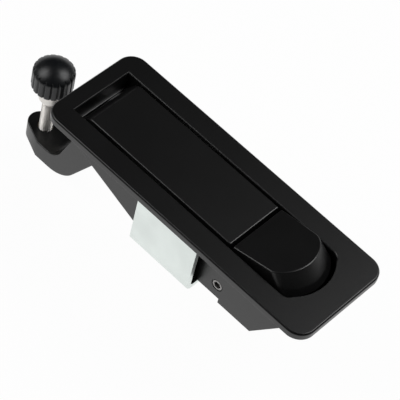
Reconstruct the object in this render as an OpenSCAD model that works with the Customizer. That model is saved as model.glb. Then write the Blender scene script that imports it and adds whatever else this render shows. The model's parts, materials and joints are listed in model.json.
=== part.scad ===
// Flush compression latch for a panel cut-out: a lever flush in a flange, held down by a D-shaped trigger.
// Millimetres. Origin at the centre of the flange's back face, +X to the trigger end, +Z out of the panel.

/* [Flange] */
// Length of the flange
flange_l = 142; // [130:1:160]
// Width of the flange
flange_w = 51; // [48:0.5:60]
// Thickness of the flange
flange_t = 3.5; // [2.5:0.1:5]
// Radius of the flange's corners
flange_r = 7.4; // [4:0.1:12]
// Chamfer around the flange's front edge
flange_edge = 0.6; // [0.3:0.1:1]
// Width of the slot the lever lies in
slot_w = 30.6; // [29:0.1:32]
// Flange left between the slot and the hinge end
hinge_margin = 7.6; // [6.5:0.1:12]
// Flange left between the slot and the trigger end
tip_margin = 11.3; // [9.5:0.1:14]
// Radius of the slot's rounded end
slot_end_r = 20.2; // [18:0.1:30]
// Radius of the corners beside the slot's rounded end
slot_corner_r = 4; // [2:0.1:5]
// Chamfer around the slot's front edge
slot_edge = 0.5; // [0.2:0.1:0.7]

/* [Tub] */
// Thickness of the tub's side walls
wall_t = 1.5; // [1.2:0.1:2]
// Thickness of the tub's floors
floor_t = 1.8; // [1.4:0.1:2.4]
// Depth of the tub behind the panel
tub_depth = 28.4; // [27.8:0.1:31]
// Extra depth of the trigger's pocket
pocket_step = 2.5; // [1:0.1:4]
// Depth of the wall at the hinge end
hinge_wall_depth = 11.2; // [10.6:0.1:13]
// Depth of the spring ledge below the front face
ledge_drop = 8; // [7:0.1:8.4]
// Thickness of the spring ledge
ledge_t = 5.5; // [3:0.1:5.6]
// Width of the spring ledge, out from the slot's hinge end
ledge_w = 1; // [0.6:0.1:1.4]

/* [Lever and pawl] */
// Distance of the lever's pivot from the slot's hinge end
pivot_inset = 12.9; // [12.5:0.1:14]
// Depth of the pivot below the front face
pivot_drop = 9.5; // [9.2:0.1:10]
// Distance of the lever's free end from its pivot
lever_reach = 73.3; // [70:0.1:76]
// Gap between the lever and the slot, each side
lever_gap = 1.2; // [1.1:0.1:1.5]
// Thickness of the lever's plate
lever_skin = 4; // [3:0.1:4.5]
// Chamfer along the lever's front edges
lever_edge = 0.4; // [0.2:0.1:0.6]
// Radius of the lever's rounded hinge end
lever_end_r = 10.6; // [10:0.1:10.8]
// Radius of the pivot pin
pivot_r = 3; // [2.5:0.05:3.2]
// Distance of the adjusting screw from the pivot, along the flange
pawl_reach = 39.1; // [36:0.1:44]
// Distance of the pawl's foot below the pivot
pawl_drop = 39.6; // [36:0.1:44]
// Half of the pawl's width
foot_r = 9.2; // [8.5:0.1:9.3]
// Thickness of the pawl's foot
foot_t = 9.3; // [6:0.1:11]
// Radius of the pawl's nose, beyond the screw
nose_r = 5.6; // [5:0.1:6.5]
// Radius of the bend between the pawl's foot and leg
crook_r = 8.5; // [3:0.1:9]
// Radius of the bend under the pawl's heel
heel_r = 16; // [8:0.5:18]

/* [Adjuster] */
// Radius of the adjusting screw, M6
screw_r = 3; // [2.5:0.5:3]
// Clear length of the screw between foot and collar
screw_clear = 18.9; // [13.5:0.1:20]
// Radius of the knob's rim
knob_r = 9.1; // [8.5:0.1:10]
// Height of the knob
knob_h = 12.9; // [11:0.1:14]
// Number of flutes around the knob
knob_flutes = 18; // [8:1:24]

/* [Trigger] */
// Gap between the lever's end and the trigger
trigger_gap = 1.5; // [1.3:0.1:2]
// Rise of the trigger's top above the flange at its tip
trigger_rise = 6.5; // [4:0.1:7]
// Slope of the trigger's top, degrees
trigger_slope = 12.4; // [9:0.1:14]
// Depth of the trigger's pivot below the front face
trigger_pin_drop = 24.8; // [24:0.1:25.2]
// Radius of the trigger's pivot pin
trigger_pin_r = 2.4; // [2:0.05:2.5]

/* [Bracket] */
// Length of the mounting bracket along the flange
bracket_l = 32.7; // [24:0.1:36]
// Width over the bracket's legs
bracket_w = 46; // [43:0.1:47]
// Thickness of the bracket's sheet
bracket_t = 2.5; // [2:0.1:3]
// Panel thickness that the bracket clamps in the stored pose
panel_t = 2.5; // [2.3:0.1:4]
// Centre of the bracket along the flange
bracket_x = -1.85; // [-3:0.05:0]
// Radius of the clamp screw, M6
clamp_r = 3; // [2.5:0.5:3]

/* [Hidden] */
$fn = 64;
fit = 0.05;
snug = 0.02;
top = flange_t;
slot_hw = slot_w / 2;
slot_x0 = hinge_margin - flange_l / 2;
slot_x1 = flange_l / 2 - tip_margin;
slot_arc_x = slot_x1 - slot_end_r;
tub_hw = slot_hw + wall_t;
tub_x0 = slot_x0 - floor_t;
pivot_x = slot_x0 + pivot_inset;
pivot_z = top - pivot_drop;
lever_x1 = pivot_x + lever_reach;
lever_hw = slot_hw - lever_gap;
lever_under = top - lever_skin;
ear_in = foot_r + 0.4;
ear_t = lever_hw - ear_in;
ear_y = ear_in + ear_t / 2;
hub_r = pivot_r + 4.5;
hub_room = 20;
lock_in = 2;
lock_up = 1.5;
lock_r = 2;
lock_x = pivot_x + hub_r - lock_in;
lock_z = pivot_z - hub_r + lock_up;
lobe_r = lock_r + 2.5;
bush_r = pivot_r + 1.2;
screw_x = pivot_x - pawl_reach;
foot_z1 = pivot_z - pawl_drop;
foot_z0 = foot_z1 - foot_t;
collar_z0 = foot_z1 + screw_clear;
collar_r = screw_r + 2;
collar_edge = 0.6;
collar_h = 8.2;
knob_z0 = collar_z0 + collar_edge + collar_h;
knob_bore_h = 6;
insert_r = screw_r + 1.5;
insert_z1 = foot_z1 - 2.2;
nose_x = screw_x - 3.1;
cheek_x = screw_x + 4.3;
ring_t = 0.8;
clip_y = slot_hw - lever_gap / 2;
web_x = bracket_x - bracket_l / 2 - 2.8;
trigger_x0 = lever_x1 + trigger_gap;
trigger_pin_x = trigger_x0 - 0.3;
trigger_pin_z = top - trigger_pin_drop;
trigger_hub_r = trigger_pin_r + 2;
pin_socket_r = trigger_pin_r - 0.6;
trigger_hub_hw = slot_hw - 5.3;
trigger_clip_y = trigger_hub_hw + 0.6;
plug_hw = slot_hw - 0.7;
plug_x1 = slot_x1 - 1.7;
plug_z0 = top - 2.7;
plug_top_x1 = plug_x1 - 7.7;
plug_top_hw = plug_hw - 1.5;
bay_x = bracket_x + bracket_l / 2 + 0.5;
bay_clear = 0.9;
bay_z = trigger_pin_z - trigger_hub_r - bay_clear - floor_t;
bay_in_x = bay_x + (bay_z < -tub_depth ? floor_t : -floor_t);
bay_level = abs(bay_z + tub_depth) < 0.005;
pocket_x = trigger_pin_x + 2.3;
pocket_x1 = pocket_x + 17.8;
pocket_z = bay_z - pocket_step;
pocket_top_x = slot_x1 + 6.3;
pocket_run = pocket_top_x - pocket_x1;
pocket_skin = floor_t * sqrt(pocket_run * pocket_run + pocket_z * pocket_z) / -pocket_z;
catch_hw = 6.5;
catch_t = 2;
catch_z = lever_under - 5.5;
lip_l = 3;
lip_t = 1.6;
lip_x = trigger_x0 - 0.7;
rivet_x = lever_x1 - 11.3;
rivet_y = 3.6;
rivet_r = 1.5;
rivet_edge = 3.5;
arm_run = 15;
clamp_insert_r = clamp_r + 1.5;
boss_r = clamp_r + 3.5;
boss_h = 15;
boss_top = -tub_depth + boss_h;
base_z1 = -tub_depth - 0.4;
base_z0 = base_z1 - bracket_t;
bend_r = bracket_t + 1.5;
leg_y = bracket_w / 2;
washer_t = 1.2;
washer_rim = 3.2;
spring_washer_rim = 2.1;
clamp_shank_rest = 2.5;
spring_washer_t = 1.6;
clamp_head_h = 6;
coil_r = pivot_r + 2;
coil_wire = 0.6;
coil_half = 2.8;
small_coil_r = trigger_pin_r + 1.2;
small_wire = 0.4;
small_half = 2.2;
rest_z = trigger_pin_z - small_coil_r - small_wire - 0.3;
rest_gap = 0.2;
rest_l = 2;
rest_x0 = bay_x + floor_t + rest_gap;
rest_x1 = rest_x0 + rest_l;
small_leg_a = 6;
small_leg_b = trigger_pin_x - rest_x0 - rest_gap;

// A side profile given in x and z, spread across the latch from y0 to y1
module across(points, y0, y1) {
    translate([0, y1, 0]) rotate([90, 0, 0]) linear_extrude(height = y1 - y0) polygon(points);
}

// A cross-section given in y and z, spread along the latch from x0 to x1
module along(points, x0, x1) {
    translate([x0, 0, 0]) rotate([90, 0, 90]) linear_extrude(height = x1 - x0) polygon(points);
}

// A round bar along y
module bar(x, z, r, y0, y1) {
    translate([x, y1, z]) rotate([90, 0, 0]) cylinder(r = r, h = y1 - y0);
}

// A box given by its two corners
module block(x0, x1, y0, y1, z0, z1) {
    translate([x0, y0, z0]) cube([x1 - x0, y1 - y0, z1 - z0]);
}

// A flat ring along y
module ring_y(x, z, r0, r1, y0, y1) {
    difference() {
        bar(x, z, r1, y0, y1);
        bar(x, z, r0, y0 - 1, y1 + 1);
    }
}

// A flat ring along z
module ring_z(x, r0, r1, z0, z1) {
    translate([x, 0, z0]) difference() {
        cylinder(r = r1, h = z1 - z0);
        translate([0, 0, -1]) cylinder(r = r0, h = z1 - z0 + 2);
    }
}

// Half of the flange's cross-section with the chamfered front edge
function edge_profile(half) = [
    [-half, 0],
    [half, 0],
    [half, flange_t - flange_edge],
    [half - flange_edge, flange_t],
    [flange_edge - half, flange_t],
    [-half, flange_t - flange_edge]
];

// The flange plate, rounded at its corners and chamfered along its front edge
module flange() {
    cx = flange_l / 2 - flange_r;
    cy = flange_w / 2 - flange_r;
    across(edge_profile(flange_l / 2), -cy, cy);
    along(edge_profile(flange_w / 2), -cx, cx);
    for (sx = [-1, 1])
        for (sy = [-1, 1])
            translate([sx * cx, sy * cy, 0]) {
                cylinder(r = flange_r, h = flange_t - flange_edge);
                translate([0, 0, flange_t - flange_edge])
                    cylinder(r1 = flange_r, r2 = flange_r - flange_edge, h = flange_edge);
            }
}

// Place of the arc that rounds the corner between a straight side and an arched end, along x
function corner_x(tip, hw, r, rc) = tip - r + sqrt((r - rc) * (r - rc) - (hw - rc) * (hw - rc));

// A round post that widens upwards from z0 to z1 by the given amount
module post(x, y, r, z0, z1, widen) {
    translate([x, y, z0]) cylinder(r1 = r, r2 = r + widen, h = z1 - z0, $fn = 96);
}

// The opening's shape between two heights, widening upwards by the given amount on every side
module slot_layer(z0, z1, widen) {
    cx = corner_x(slot_x1, slot_hw, slot_end_r, slot_corner_r);
    cy = slot_hw - slot_corner_r;
    far = 2 * slot_end_r;
    lean = atan2(cy, cx - slot_arc_x);
    sides = [[-slot_hw, z0], [slot_hw, z0], [slot_hw + widen, z1], [-slot_hw - widen, z1]];
    back = [[slot_x0, z0], [cx, z0], [cx, z1], [slot_x0 - widen, z1]];
    intersection() {
        along(sides, slot_x0 - widen - 1, cx);
        across(back, -slot_hw - widen - 1, slot_hw + widen + 1);
    }
    for (s = [-1, 1])
        post(cx, s * cy, slot_corner_r, z0, z1, widen);
    intersection() {
        post(slot_arc_x, 0, slot_end_r, z0, z1, widen);
        translate([slot_arc_x, 0, z0]) linear_extrude(height = z1 - z0)
            polygon([[0, 0], far * [cos(lean), -sin(lean)], [far, 0], far * [cos(lean), sin(lean)]]);
    }
}

// The opening in the flange: straight for the lever, arched at the trigger's tip, chamfered in front
module slot() {
    slot_layer(-0.5, top, 0);
    slot_layer(top - slot_edge, top + 1, slot_edge + 1);
}

// The tub behind the flange: open below the pawl, floored under the lever, deeper under the trigger
module tub() {
    outer_step = bay_level ? [] : [[bay_x, -tub_depth], [bay_x, bay_z]];
    inner_step = bay_level ? [] : [[bay_in_x, floor_t - tub_depth], [bay_in_x, floor_t + bay_z]];
    outer = concat([
        [tub_x0, 1],
        [tub_x0, -hinge_wall_depth],
        [web_x, -tub_depth]
    ], outer_step, [
        [pocket_x, bay_z],
        [pocket_x, pocket_z],
        [pocket_x1, pocket_z],
        [pocket_top_x, 0],
        [pocket_top_x, 1]
    ]);
    inner = concat([
        [slot_x0, 2],
        [slot_x0, -tub_depth - 1],
        [web_x, -tub_depth - 1],
        [web_x, floor_t - tub_depth]
    ], inner_step, [
        [pocket_x + floor_t, floor_t + bay_z],
        [pocket_x + floor_t, pocket_z + floor_t],
        [pocket_x1 - pocket_skin + pocket_run * floor_t / -pocket_z, pocket_z + floor_t],
        [pocket_top_x - pocket_skin, 0],
        [pocket_top_x - pocket_skin, 2]
    ]);
    difference() {
        across(outer, -tub_hw, tub_hw);
        across(inner, -slot_hw, slot_hw);
    }
}

module housing() {
    color([0.03, 0.03, 0.035]) difference() {
        union() {
            flange();
            tub();
            block(slot_x0 - 0.5, slot_x0 + ledge_w, -slot_hw - 0.5, slot_hw + 0.5,
                  top - ledge_drop - ledge_t, top - ledge_drop);
            translate([bracket_x, 0, 0.5 - tub_depth]) cylinder(r = boss_r, h = boss_top + tub_depth - 0.5);
            block(rest_x0, rest_x1, -4, 4, floor_t / 2 + bay_z, rest_z);
        }
        slot();
        bar(pivot_x, pivot_z, pivot_r + snug, -tub_hw - 1, tub_hw + 1);
        bar(trigger_pin_x, trigger_pin_z, trigger_pin_r + snug, -tub_hw - 1, tub_hw + 1);
        bar(trigger_pin_x, trigger_pin_z, trigger_pin_r + 0.4, -tub_hw - 1, 0.5 - tub_hw);
        translate([bracket_x, 0, -tub_depth - 1]) cylinder(r = clamp_insert_r + snug, h = boss_h);
    }
}

module pivot_pin() {
    color([0.7, 0.7, 0.72]) difference() {
        bar(pivot_x, pivot_z, pivot_r, 0.2 - tub_hw, tub_hw - 0.2);
        for (s = [-1, 1])
            ring_y(pivot_x, pivot_z, pivot_r - 0.5, pivot_r + 1,
                   s * clip_y - ring_t / 2 - fit, s * clip_y + ring_t / 2 + fit);
    }
}

module pivot_clips() {
    color([0.55, 0.55, 0.57])
        for (s = [-1, 1])
            ring_y(pivot_x, pivot_z, pivot_r - 0.5 + fit, pivot_r + 2,
                   s * clip_y - ring_t / 2, s * clip_y + ring_t / 2);
}

module trigger_pin() {
    color([0.7, 0.7, 0.72]) difference() {
        bar(trigger_pin_x, trigger_pin_z, trigger_pin_r, 0.15 - tub_hw, tub_hw - 0.15);
        translate([trigger_pin_x, 0.15 - tub_hw, trigger_pin_z]) rotate([90, 0, 0])
            translate([0, 0, -2.4]) cylinder(r = pin_socket_r, h = 3, $fn = 6);
        for (s = [-1, 1])
            ring_y(trigger_pin_x, trigger_pin_z, trigger_pin_r - 0.4, trigger_pin_r + 1,
                   s * trigger_clip_y - ring_t / 2 - fit, s * trigger_clip_y + ring_t / 2 + fit);
    }
}

module trigger_pin_clips() {
    color([0.55, 0.55, 0.57])
        for (s = [-1, 1])
            ring_y(trigger_pin_x, trigger_pin_z, trigger_pin_r - 0.4 + fit, trigger_pin_r + 1.4,
                   s * trigger_clip_y - ring_t / 2, s * trigger_clip_y + ring_t / 2);
}

module clamp_insert() {
    color([0.75, 0.6, 0.25])
        ring_z(bracket_x, clamp_r + fit, clamp_insert_r, 0.1 - tub_depth, boss_top - 1.2);
}

// The lever: a flush plate with two side ribs, two ears around the pivot and a rounded hinge end
module lever() {
    rib_z1 = top - lever_edge - 0.1;
    rib = [
        [pivot_x, rib_z1],
        [lever_x1 - 3, rib_z1],
        [lever_x1 - 3, lever_under - 2.5],
        [pivot_x, lever_under - 7.5]
    ];
    plate = [
        [pivot_x, lever_under],
        [lever_x1, lever_under],
        [lever_x1, top - lever_edge],
        [lever_x1 - lever_edge, top],
        [pivot_x, top]
    ];
    section = [
        [-lever_hw, lever_under],
        [lever_hw, lever_under],
        [lever_hw, top - lever_edge],
        [lever_hw - lever_edge, top],
        [lever_edge - lever_hw, top],
        [-lever_hw, top - lever_edge]
    ];
    deep_section = [
        [-lever_hw, pivot_z - 2 * lever_end_r],
        [lever_hw, pivot_z - 2 * lever_end_r],
        [lever_hw, top - lever_edge],
        [lever_hw - lever_edge, top],
        [lever_edge - lever_hw, top],
        [-lever_hw, top - lever_edge]
    ];
    color([0.03, 0.03, 0.035]) difference() {
        union() {
            intersection() {
                across(plate, -lever_hw - 1, lever_hw + 1);
                along(section, pivot_x - 1, lever_x1 + 1);
            }
            intersection() {
                union() {
                    bar(pivot_x, pivot_z, lever_end_r, lever_edge - lever_hw, lever_hw - lever_edge);
                    for (s = [-1, 1])
                        translate([pivot_x, s * (lever_hw - lever_edge), pivot_z]) rotate([-90 * s, 0, 0])
                            cylinder(r1 = lever_end_r, r2 = lever_end_r - lever_edge, h = lever_edge);
                }
                along(deep_section, pivot_x - 2 * lever_end_r, pivot_x + 2 * lever_end_r);
            }
            for (s = [-1, 1]) {
                across(rib, s * (lever_hw - 1) - 1, s * (lever_hw - 1) + 1);
                bar(lock_x, lock_z, lobe_r, s * ear_y - ear_t / 2, s * ear_y + ear_t / 2);
            }
        }
        bar(pivot_x, pivot_z, hub_r + 0.35, -ear_in, ear_in);
        block(pivot_x - hub_room, pivot_x + hub_room, -ear_in, ear_in,
              pivot_z - hub_room, pivot_z + 1.5);
        bar(pivot_x, pivot_z, bush_r + snug, -lever_hw - 1, lever_hw + 1);
        bar(lock_x, lock_z, lock_r + snug, -lever_hw - 1, lever_hw + 1);
        for (s = [-1, 1])
            translate([rivet_x, s * rivet_y, lever_under - 1])
                cylinder(r = rivet_r + fit, h = lever_skin - 0.5);
    }
}

// Steel catch under the lever's free end, with the lip that the trigger's nose holds
module lever_catch() {
    profile = [
        [rivet_x - rivet_edge, lever_under],
        [lip_x - lip_l, lever_under],
        [lip_x - lip_l, catch_z + lip_t],
        [lip_x, catch_z + lip_t],
        [lip_x, catch_z],
        [lip_x - lip_l - 1.8, catch_z],
        [lip_x - lip_l - 1.8, lever_under - catch_t],
        [rivet_x - rivet_edge, lever_under - catch_t]
    ];
    color([0.6, 0.6, 0.62]) difference() {
        across(profile, -catch_hw, catch_hw);
        for (s = [-1, 1])
            translate([rivet_x, s * rivet_y, lever_under - 3]) cylinder(r = rivet_r + fit, h = 4);
    }
}

module catch_rivets() {
    color([0.7, 0.7, 0.72])
        for (s = [-1, 1])
            translate([rivet_x, s * rivet_y, lever_under - catch_t - 1.2]) {
                cylinder(r = rivet_r + 1, h = 1.2);
                translate([0, 0, 1]) cylinder(r = rivet_r, h = catch_t + lever_skin - 1.5);
            }
}

module pivot_bushes() {
    color([0.75, 0.6, 0.25])
        for (s = [-1, 1])
            ring_y(pivot_x, pivot_z, pivot_r + fit, bush_r,
                   s * ear_y - ear_t / 2, s * ear_y + ear_t / 2);
}

// A wound wire along y: turns of a helix with a straight leg along the tangent at each end
module coil(x, z, r, wire, half, start, sweep, leg_a, leg_b) {
    sides = 8;
    steps = ceil(sweep / 16);
    function angle(i) = start - sweep * min(max(i - 1, 0), steps) / steps;
    function shift(i) = i == 0 ? leg_a : i == steps + 2 ? -leg_b : 0;
    function centre(i) = [
        x + r * cos(angle(i)) - shift(i) * sin(angle(i)),
        half - 2 * half * min(max(i - 1, 0), steps) / steps,
        z + r * sin(angle(i)) + shift(i) * cos(angle(i))
    ];
    function rim(i, j) = centre(i) + wire * (cos(360 * j / sides) * [cos(angle(i)), 0, sin(angle(i))]
                                             + sin(360 * j / sides) * [0, 1, 0]);
    points = [for (i = [0 : steps + 2]) for (j = [0 : sides - 1]) rim(i, j)];
    skin = [for (i = [0 : steps + 1]) for (j = [0 : sides - 1]) for (k = [0, 1])
        k == 0 ? [i * sides + j, i * sides + (j + 1) % sides, (i + 1) * sides + j]
               : [i * sides + (j + 1) % sides, (i + 1) * sides + (j + 1) % sides, (i + 1) * sides + j]];
    first = [for (j = [0 : sides - 1]) sides - 1 - j];
    last = [for (j = [0 : sides - 1]) (steps + 2) * sides + j];
    polyhedron(points = points, faces = concat(skin, [first], [last]));
}

module lever_spring() {
    leg_out = pivot_x - slot_x0 - 0.5;
    leg_in = lock_x - pivot_x - lock_r - coil_wire - 0.1;
    color([0.6, 0.6, 0.62]) coil(pivot_x, pivot_z, coil_r, coil_wire, coil_half, -90, 1440, leg_in, leg_out);
}

// Outline of the pawl seen from the front: a round nose, cheeks that widen to the leg's full width
module pawl_plan() {
    reach = norm([cheek_x - nose_x, foot_r]);
    turn = atan2(foot_r, cheek_x - nose_x) + acos(nose_r / reach);
    touch = [nose_x + nose_r * cos(turn), nose_r * sin(turn)];
    end_x = pivot_x + 2 * hub_r;
    translate([nose_x, 0]) circle(r = nose_r);
    polygon([
        [touch[0], -touch[1]],
        [cheek_x, -foot_r],
        [end_x, -foot_r],
        [end_x, foot_r],
        [cheek_x, foot_r],
        [touch[0], touch[1]]
    ]);
}

// Side of the pawl: a steep leg with a rounded crook above the foot and a rounded heel below
module pawl_side() {
    knee = [pivot_x - 0.432 * pawl_reach, pivot_z - 0.543 * pawl_drop];
    crook = [pivot_x - 0.604 * pawl_reach, foot_z1];
    calf = [pivot_x - 0.095 * pawl_reach, pivot_z - 0.614 * pawl_drop];
    heel = [pivot_x - 0.46 * pawl_reach, foot_z0];
    crook_run = crook_r * tan(atan2(knee[1] - crook[1], knee[0] - crook[0]) / 2);
    heel_run = heel_r * tan(atan2(calf[1] - heel[1], calf[0] - heel[0]) / 2);
    crook_a = crook - [crook_run, 0];
    crook_b = crook + crook_run * (knee - crook) / norm(knee - crook);
    heel_a = heel - [heel_run, 0];
    heel_b = heel + heel_run * (calf - heel) / norm(calf - heel);
    nose_tip = nose_x - nose_r - 1;
    across([
        [pivot_x - hub_r + 0.1, pivot_z + 1],
        knee,
        crook,
        [nose_tip, foot_z1],
        [nose_tip, foot_z0],
        heel_a,
        heel_b,
        calf,
        [pivot_x + hub_r - 0.1, pivot_z - 3]
    ], -foot_r, foot_r);
    difference() {
        across([crook_a - [0, 0.5], crook + [0.5, -0.5], crook_b + [0.5, 0], crook_b, crook_a],
               -foot_r, foot_r);
        bar(crook_a[0], foot_z1 + crook_r, crook_r, -foot_r - 1, foot_r + 1);
    }
    intersection() {
        across([heel_a, heel, heel_b], -foot_r, foot_r);
        bar(heel_a[0], foot_z0 + heel_r, heel_r, -foot_r - 1, foot_r + 1);
    }
}

// The pawl: a hub on the pivot, a steep leg behind the panel and a rounded foot for the adjusting screw
module pawl() {
    color([0.03, 0.03, 0.035]) difference() {
        union() {
            intersection() {
                pawl_side();
                translate([0, 0, foot_z0 - 1]) linear_extrude(height = pivot_z - foot_z0 + 3) pawl_plan();
            }
            bar(pivot_x, pivot_z, hub_r, -foot_r, foot_r);
            bar(lock_x, lock_z, lobe_r, -foot_r, foot_r);
        }
        bar(pivot_x, pivot_z, pivot_r + fit, -foot_r - 1, foot_r + 1);
        bar(pivot_x, pivot_z, hub_r + 0.7, -4, 4);
        block(pivot_x - hub_room, pivot_x - 2, -4, 4, pivot_z - coil_r - 1.2, pivot_z + hub_room);
        bar(lock_x, lock_z, lock_r + snug, -foot_r - 1, foot_r + 1);
        translate([screw_x, 0, foot_z0 - 1]) cylinder(r = insert_r + snug, h = insert_z1 - foot_z0 + 1);
        translate([screw_x, 0, foot_z0]) cylinder(r = screw_r + 0.35, h = foot_t + 1);
    }
}

module drive_pin() {
    color([0.7, 0.7, 0.72]) bar(lock_x, lock_z, lock_r, -lever_hw + 0.2, lever_hw - 0.2);
}

module thread_insert() {
    color([0.75, 0.6, 0.25]) ring_z(screw_x, screw_r + fit, insert_r, foot_z0, insert_z1);
}

module stop_ring() {
    color([0.55, 0.55, 0.57])
        ring_z(screw_x, screw_r - 0.5 + fit, screw_r + 2, foot_z0 - 0.4 - ring_t, foot_z0 - 0.4);
}

module adjusting_screw() {
    color([0.75, 0.75, 0.78]) difference() {
        translate([screw_x, 0, 0]) union() {
            translate([0, 0, foot_z0 - 2.6]) cylinder(r = screw_r, h = collar_z0 - foot_z0 + 3);
            translate([0, 0, collar_z0])
                cylinder(r1 = collar_r - collar_edge, r2 = collar_r, h = collar_edge);
            translate([0, 0, collar_z0 + collar_edge]) cylinder(r = collar_r, h = collar_h);
            translate([0, 0, knob_z0 - 0.1]) cylinder(r = collar_r, h = knob_bore_h + 0.1, $fn = 6);
        }
        ring_z(screw_x, screw_r - 0.5, screw_r + 1, foot_z0 - 0.4 - ring_t - fit, foot_z0 - 0.4 + fit);
    }
}

// The knob: a round cap under a shallow dome, grooved around its side
module bumper_knob() {
    dome_r = 1.32 * knob_r;
    groove_r = 0.075 * knob_r;
    color([0.04, 0.04, 0.045]) translate([screw_x, 0, knob_z0]) difference() {
        intersection() {
            cylinder(r = knob_r, h = knob_h + 1);
            translate([0, 0, knob_h - dome_r]) sphere(r = dome_r, $fn = 96);
        }
        for (i = [0 : knob_flutes - 1])
            rotate([0, 0, 360 * (i + 0.5) / knob_flutes]) translate([knob_r + 0.2 * groove_r, 0, -1])
                cylinder(r = groove_r, h = knob_h + 2, $fn = 24);
        translate([0, 0, -1]) cylinder(r = collar_r + snug, h = knob_bore_h + 1.1, $fn = 6);
    }
}

// Outline of the trigger at one height: a straight back, an arched tip and rounded corners
module trigger_outline(tip, hw, r, rc) {
    cx = corner_x(tip, hw, r, rc);
    lean = atan2(hw - rc, cx - tip + r);
    translate([trigger_x0, -hw]) square([cx - trigger_x0, 2 * hw]);
    for (s = [-1, 1])
        translate([cx, s * (hw - rc)]) circle(r = rc, $fn = 96);
    intersection() {
        translate([tip - r, 0]) circle(r = r, $fn = 144);
        translate([tip - r, 0])
            polygon([[0, 0], 2 * r * [cos(lean), -sin(lean)], [2 * r, 0], 2 * r * [cos(lean), sin(lean)]]);
    }
}

// The trigger: a raked cap with a sloping top, an arm down to its pivot and a nose over the catch's lip
module trigger() {
    arm = [
        [trigger_x0 + 0.9, plug_z0 + 0.5],
        [trigger_x0 + arm_run, plug_z0 + 0.5],
        [trigger_x0 + 0.7 * arm_run, plug_z0 - 0.3 * arm_run],
        [trigger_pin_x + trigger_hub_r, trigger_pin_z + 5],
        [trigger_pin_x + trigger_hub_r, trigger_pin_z],
        [trigger_pin_x - trigger_hub_r, trigger_pin_z],
        [trigger_pin_x - 2, trigger_pin_z + trigger_hub_r],
        [trigger_x0 + 0.9, trigger_pin_z + trigger_hub_r + 2]
    ];
    color([0.03, 0.03, 0.035]) difference() {
        union() {
            difference() {
                hull() {
                    translate([0, 0, plug_z0]) linear_extrude(height = 0.1)
                        trigger_outline(plug_x1, plug_hw, slot_end_r - 1.7, slot_corner_r - 0.7);
                    translate([0, 0, top + trigger_rise]) linear_extrude(height = 0.1)
                        trigger_outline(plug_top_x1, plug_top_hw, plug_top_hw + 0.5, plug_top_hw - 5);
                }
                translate([trigger_x0, 0, top]) rotate([0, -trigger_slope, 0])
                    translate([-20, -40, 0]) cube([100, 80, 40]);
            }
            across(arm, -trigger_hub_hw, trigger_hub_hw);
            bar(trigger_pin_x, trigger_pin_z, trigger_hub_r, -trigger_hub_hw, trigger_hub_hw);
            block(lip_x + 0.4, trigger_x0 + 2, -7, 7, catch_z + 2.1, plug_z0 + 0.5);
        }
        bar(trigger_pin_x, trigger_pin_z, trigger_pin_r + fit, -tub_hw, tub_hw);
        bar(trigger_pin_x, trigger_pin_z, trigger_hub_r + 0.5, -3.2, 3.2);
        block(trigger_pin_x + 2, trigger_pin_x + trigger_hub_r + 2, -3.2, 3.2,
              trigger_pin_z, trigger_pin_z + small_leg_a + 2);
    }
}

module trigger_spring() {
    color([0.6, 0.6, 0.62])
        coil(trigger_pin_x, trigger_pin_z, small_coil_r, small_wire, small_half,
             0, 1170, small_leg_a, small_leg_b);
}

// The mounting bracket: one bent sheet, a base under the tub and a leg up each side to the panel
module mounting_bracket() {
    x0 = bracket_x - bracket_l / 2;
    x1 = bracket_x + bracket_l / 2;
    cy = leg_y - bend_r;
    cz = base_z0 + bend_r;
    mid_y = leg_y - bracket_t / 2;
    bend_y = cy + bend_r / 2;
    color([0.8, 0.82, 0.86]) difference() {
        union() {
            block(x0, x1, -cy, cy, base_z0, base_z1);
            for (s = [-1, 1]) {
                block(x0, x1, s * mid_y - bracket_t / 2, s * mid_y + bracket_t / 2, cz, -panel_t);
                difference() {
                    intersection() {
                        translate([x0, s * cy, cz]) rotate([0, 90, 0]) cylinder(r = bend_r, h = bracket_l);
                        block(x0 - 1, x1 + 1, s * bend_y - bend_r / 2, s * bend_y + bend_r / 2,
                              base_z0 - 1, cz);
                    }
                    translate([x0 - 1, s * cy, cz]) rotate([0, 90, 0])
                        cylinder(r = bend_r - bracket_t, h = bracket_l + 2);
                }
            }
        }
        translate([bracket_x, 0, base_z0 - 1]) cylinder(r = clamp_r + 0.3, h = bracket_t + 2);
    }
}

module clamp_washer() {
    color([0.75, 0.75, 0.78])
        ring_z(bracket_x, clamp_r + 0.2, clamp_r + washer_rim, base_z0 - washer_t, base_z0);
}

module clamp_spring_washer() {
    z1 = base_z0 - washer_t;
    color([0.7, 0.7, 0.72]) difference() {
        ring_z(bracket_x, clamp_r + 0.2, clamp_r + spring_washer_rim, z1 - spring_washer_t, z1);
        translate([bracket_x, 0, z1 - spring_washer_t / 2]) rotate([30, 0, 0])
            block(0, 2 * clamp_r + 4, -0.4, 0.4, -4, 4);
    }
}

module clamp_screw() {
    z1 = base_z0 - washer_t - spring_washer_t;
    color([0.75, 0.75, 0.78]) translate([bracket_x, 0, 0]) difference() {
        union() {
            translate([0, 0, z1 - clamp_head_h]) cylinder(r = clamp_r + 2, h = clamp_head_h);
            translate([0, 0, z1 - 0.1]) cylinder(r = clamp_r, h = boss_top - clamp_shank_rest - z1 + 0.1);
        }
        translate([0, 0, z1 - clamp_head_h - 1]) cylinder(r = clamp_r * 0.96, h = 4, $fn = 6);
    }
}

housing();
pivot_pin();
pivot_clips();
trigger_pin();
trigger_pin_clips();
clamp_insert();
lever();
lever_catch();
catch_rivets();
pivot_bushes();
lever_spring();
pawl();
drive_pin();
thread_insert();
stop_ring();
adjusting_screw();
bumper_knob();
trigger();
trigger_spring();
mounting_bracket();
clamp_washer();
clamp_spring_washer();
clamp_screw();
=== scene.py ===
"""Flush compression latch: rounded castings, threads, springs, knob and finishes around its solids."""

import json
import math

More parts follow.
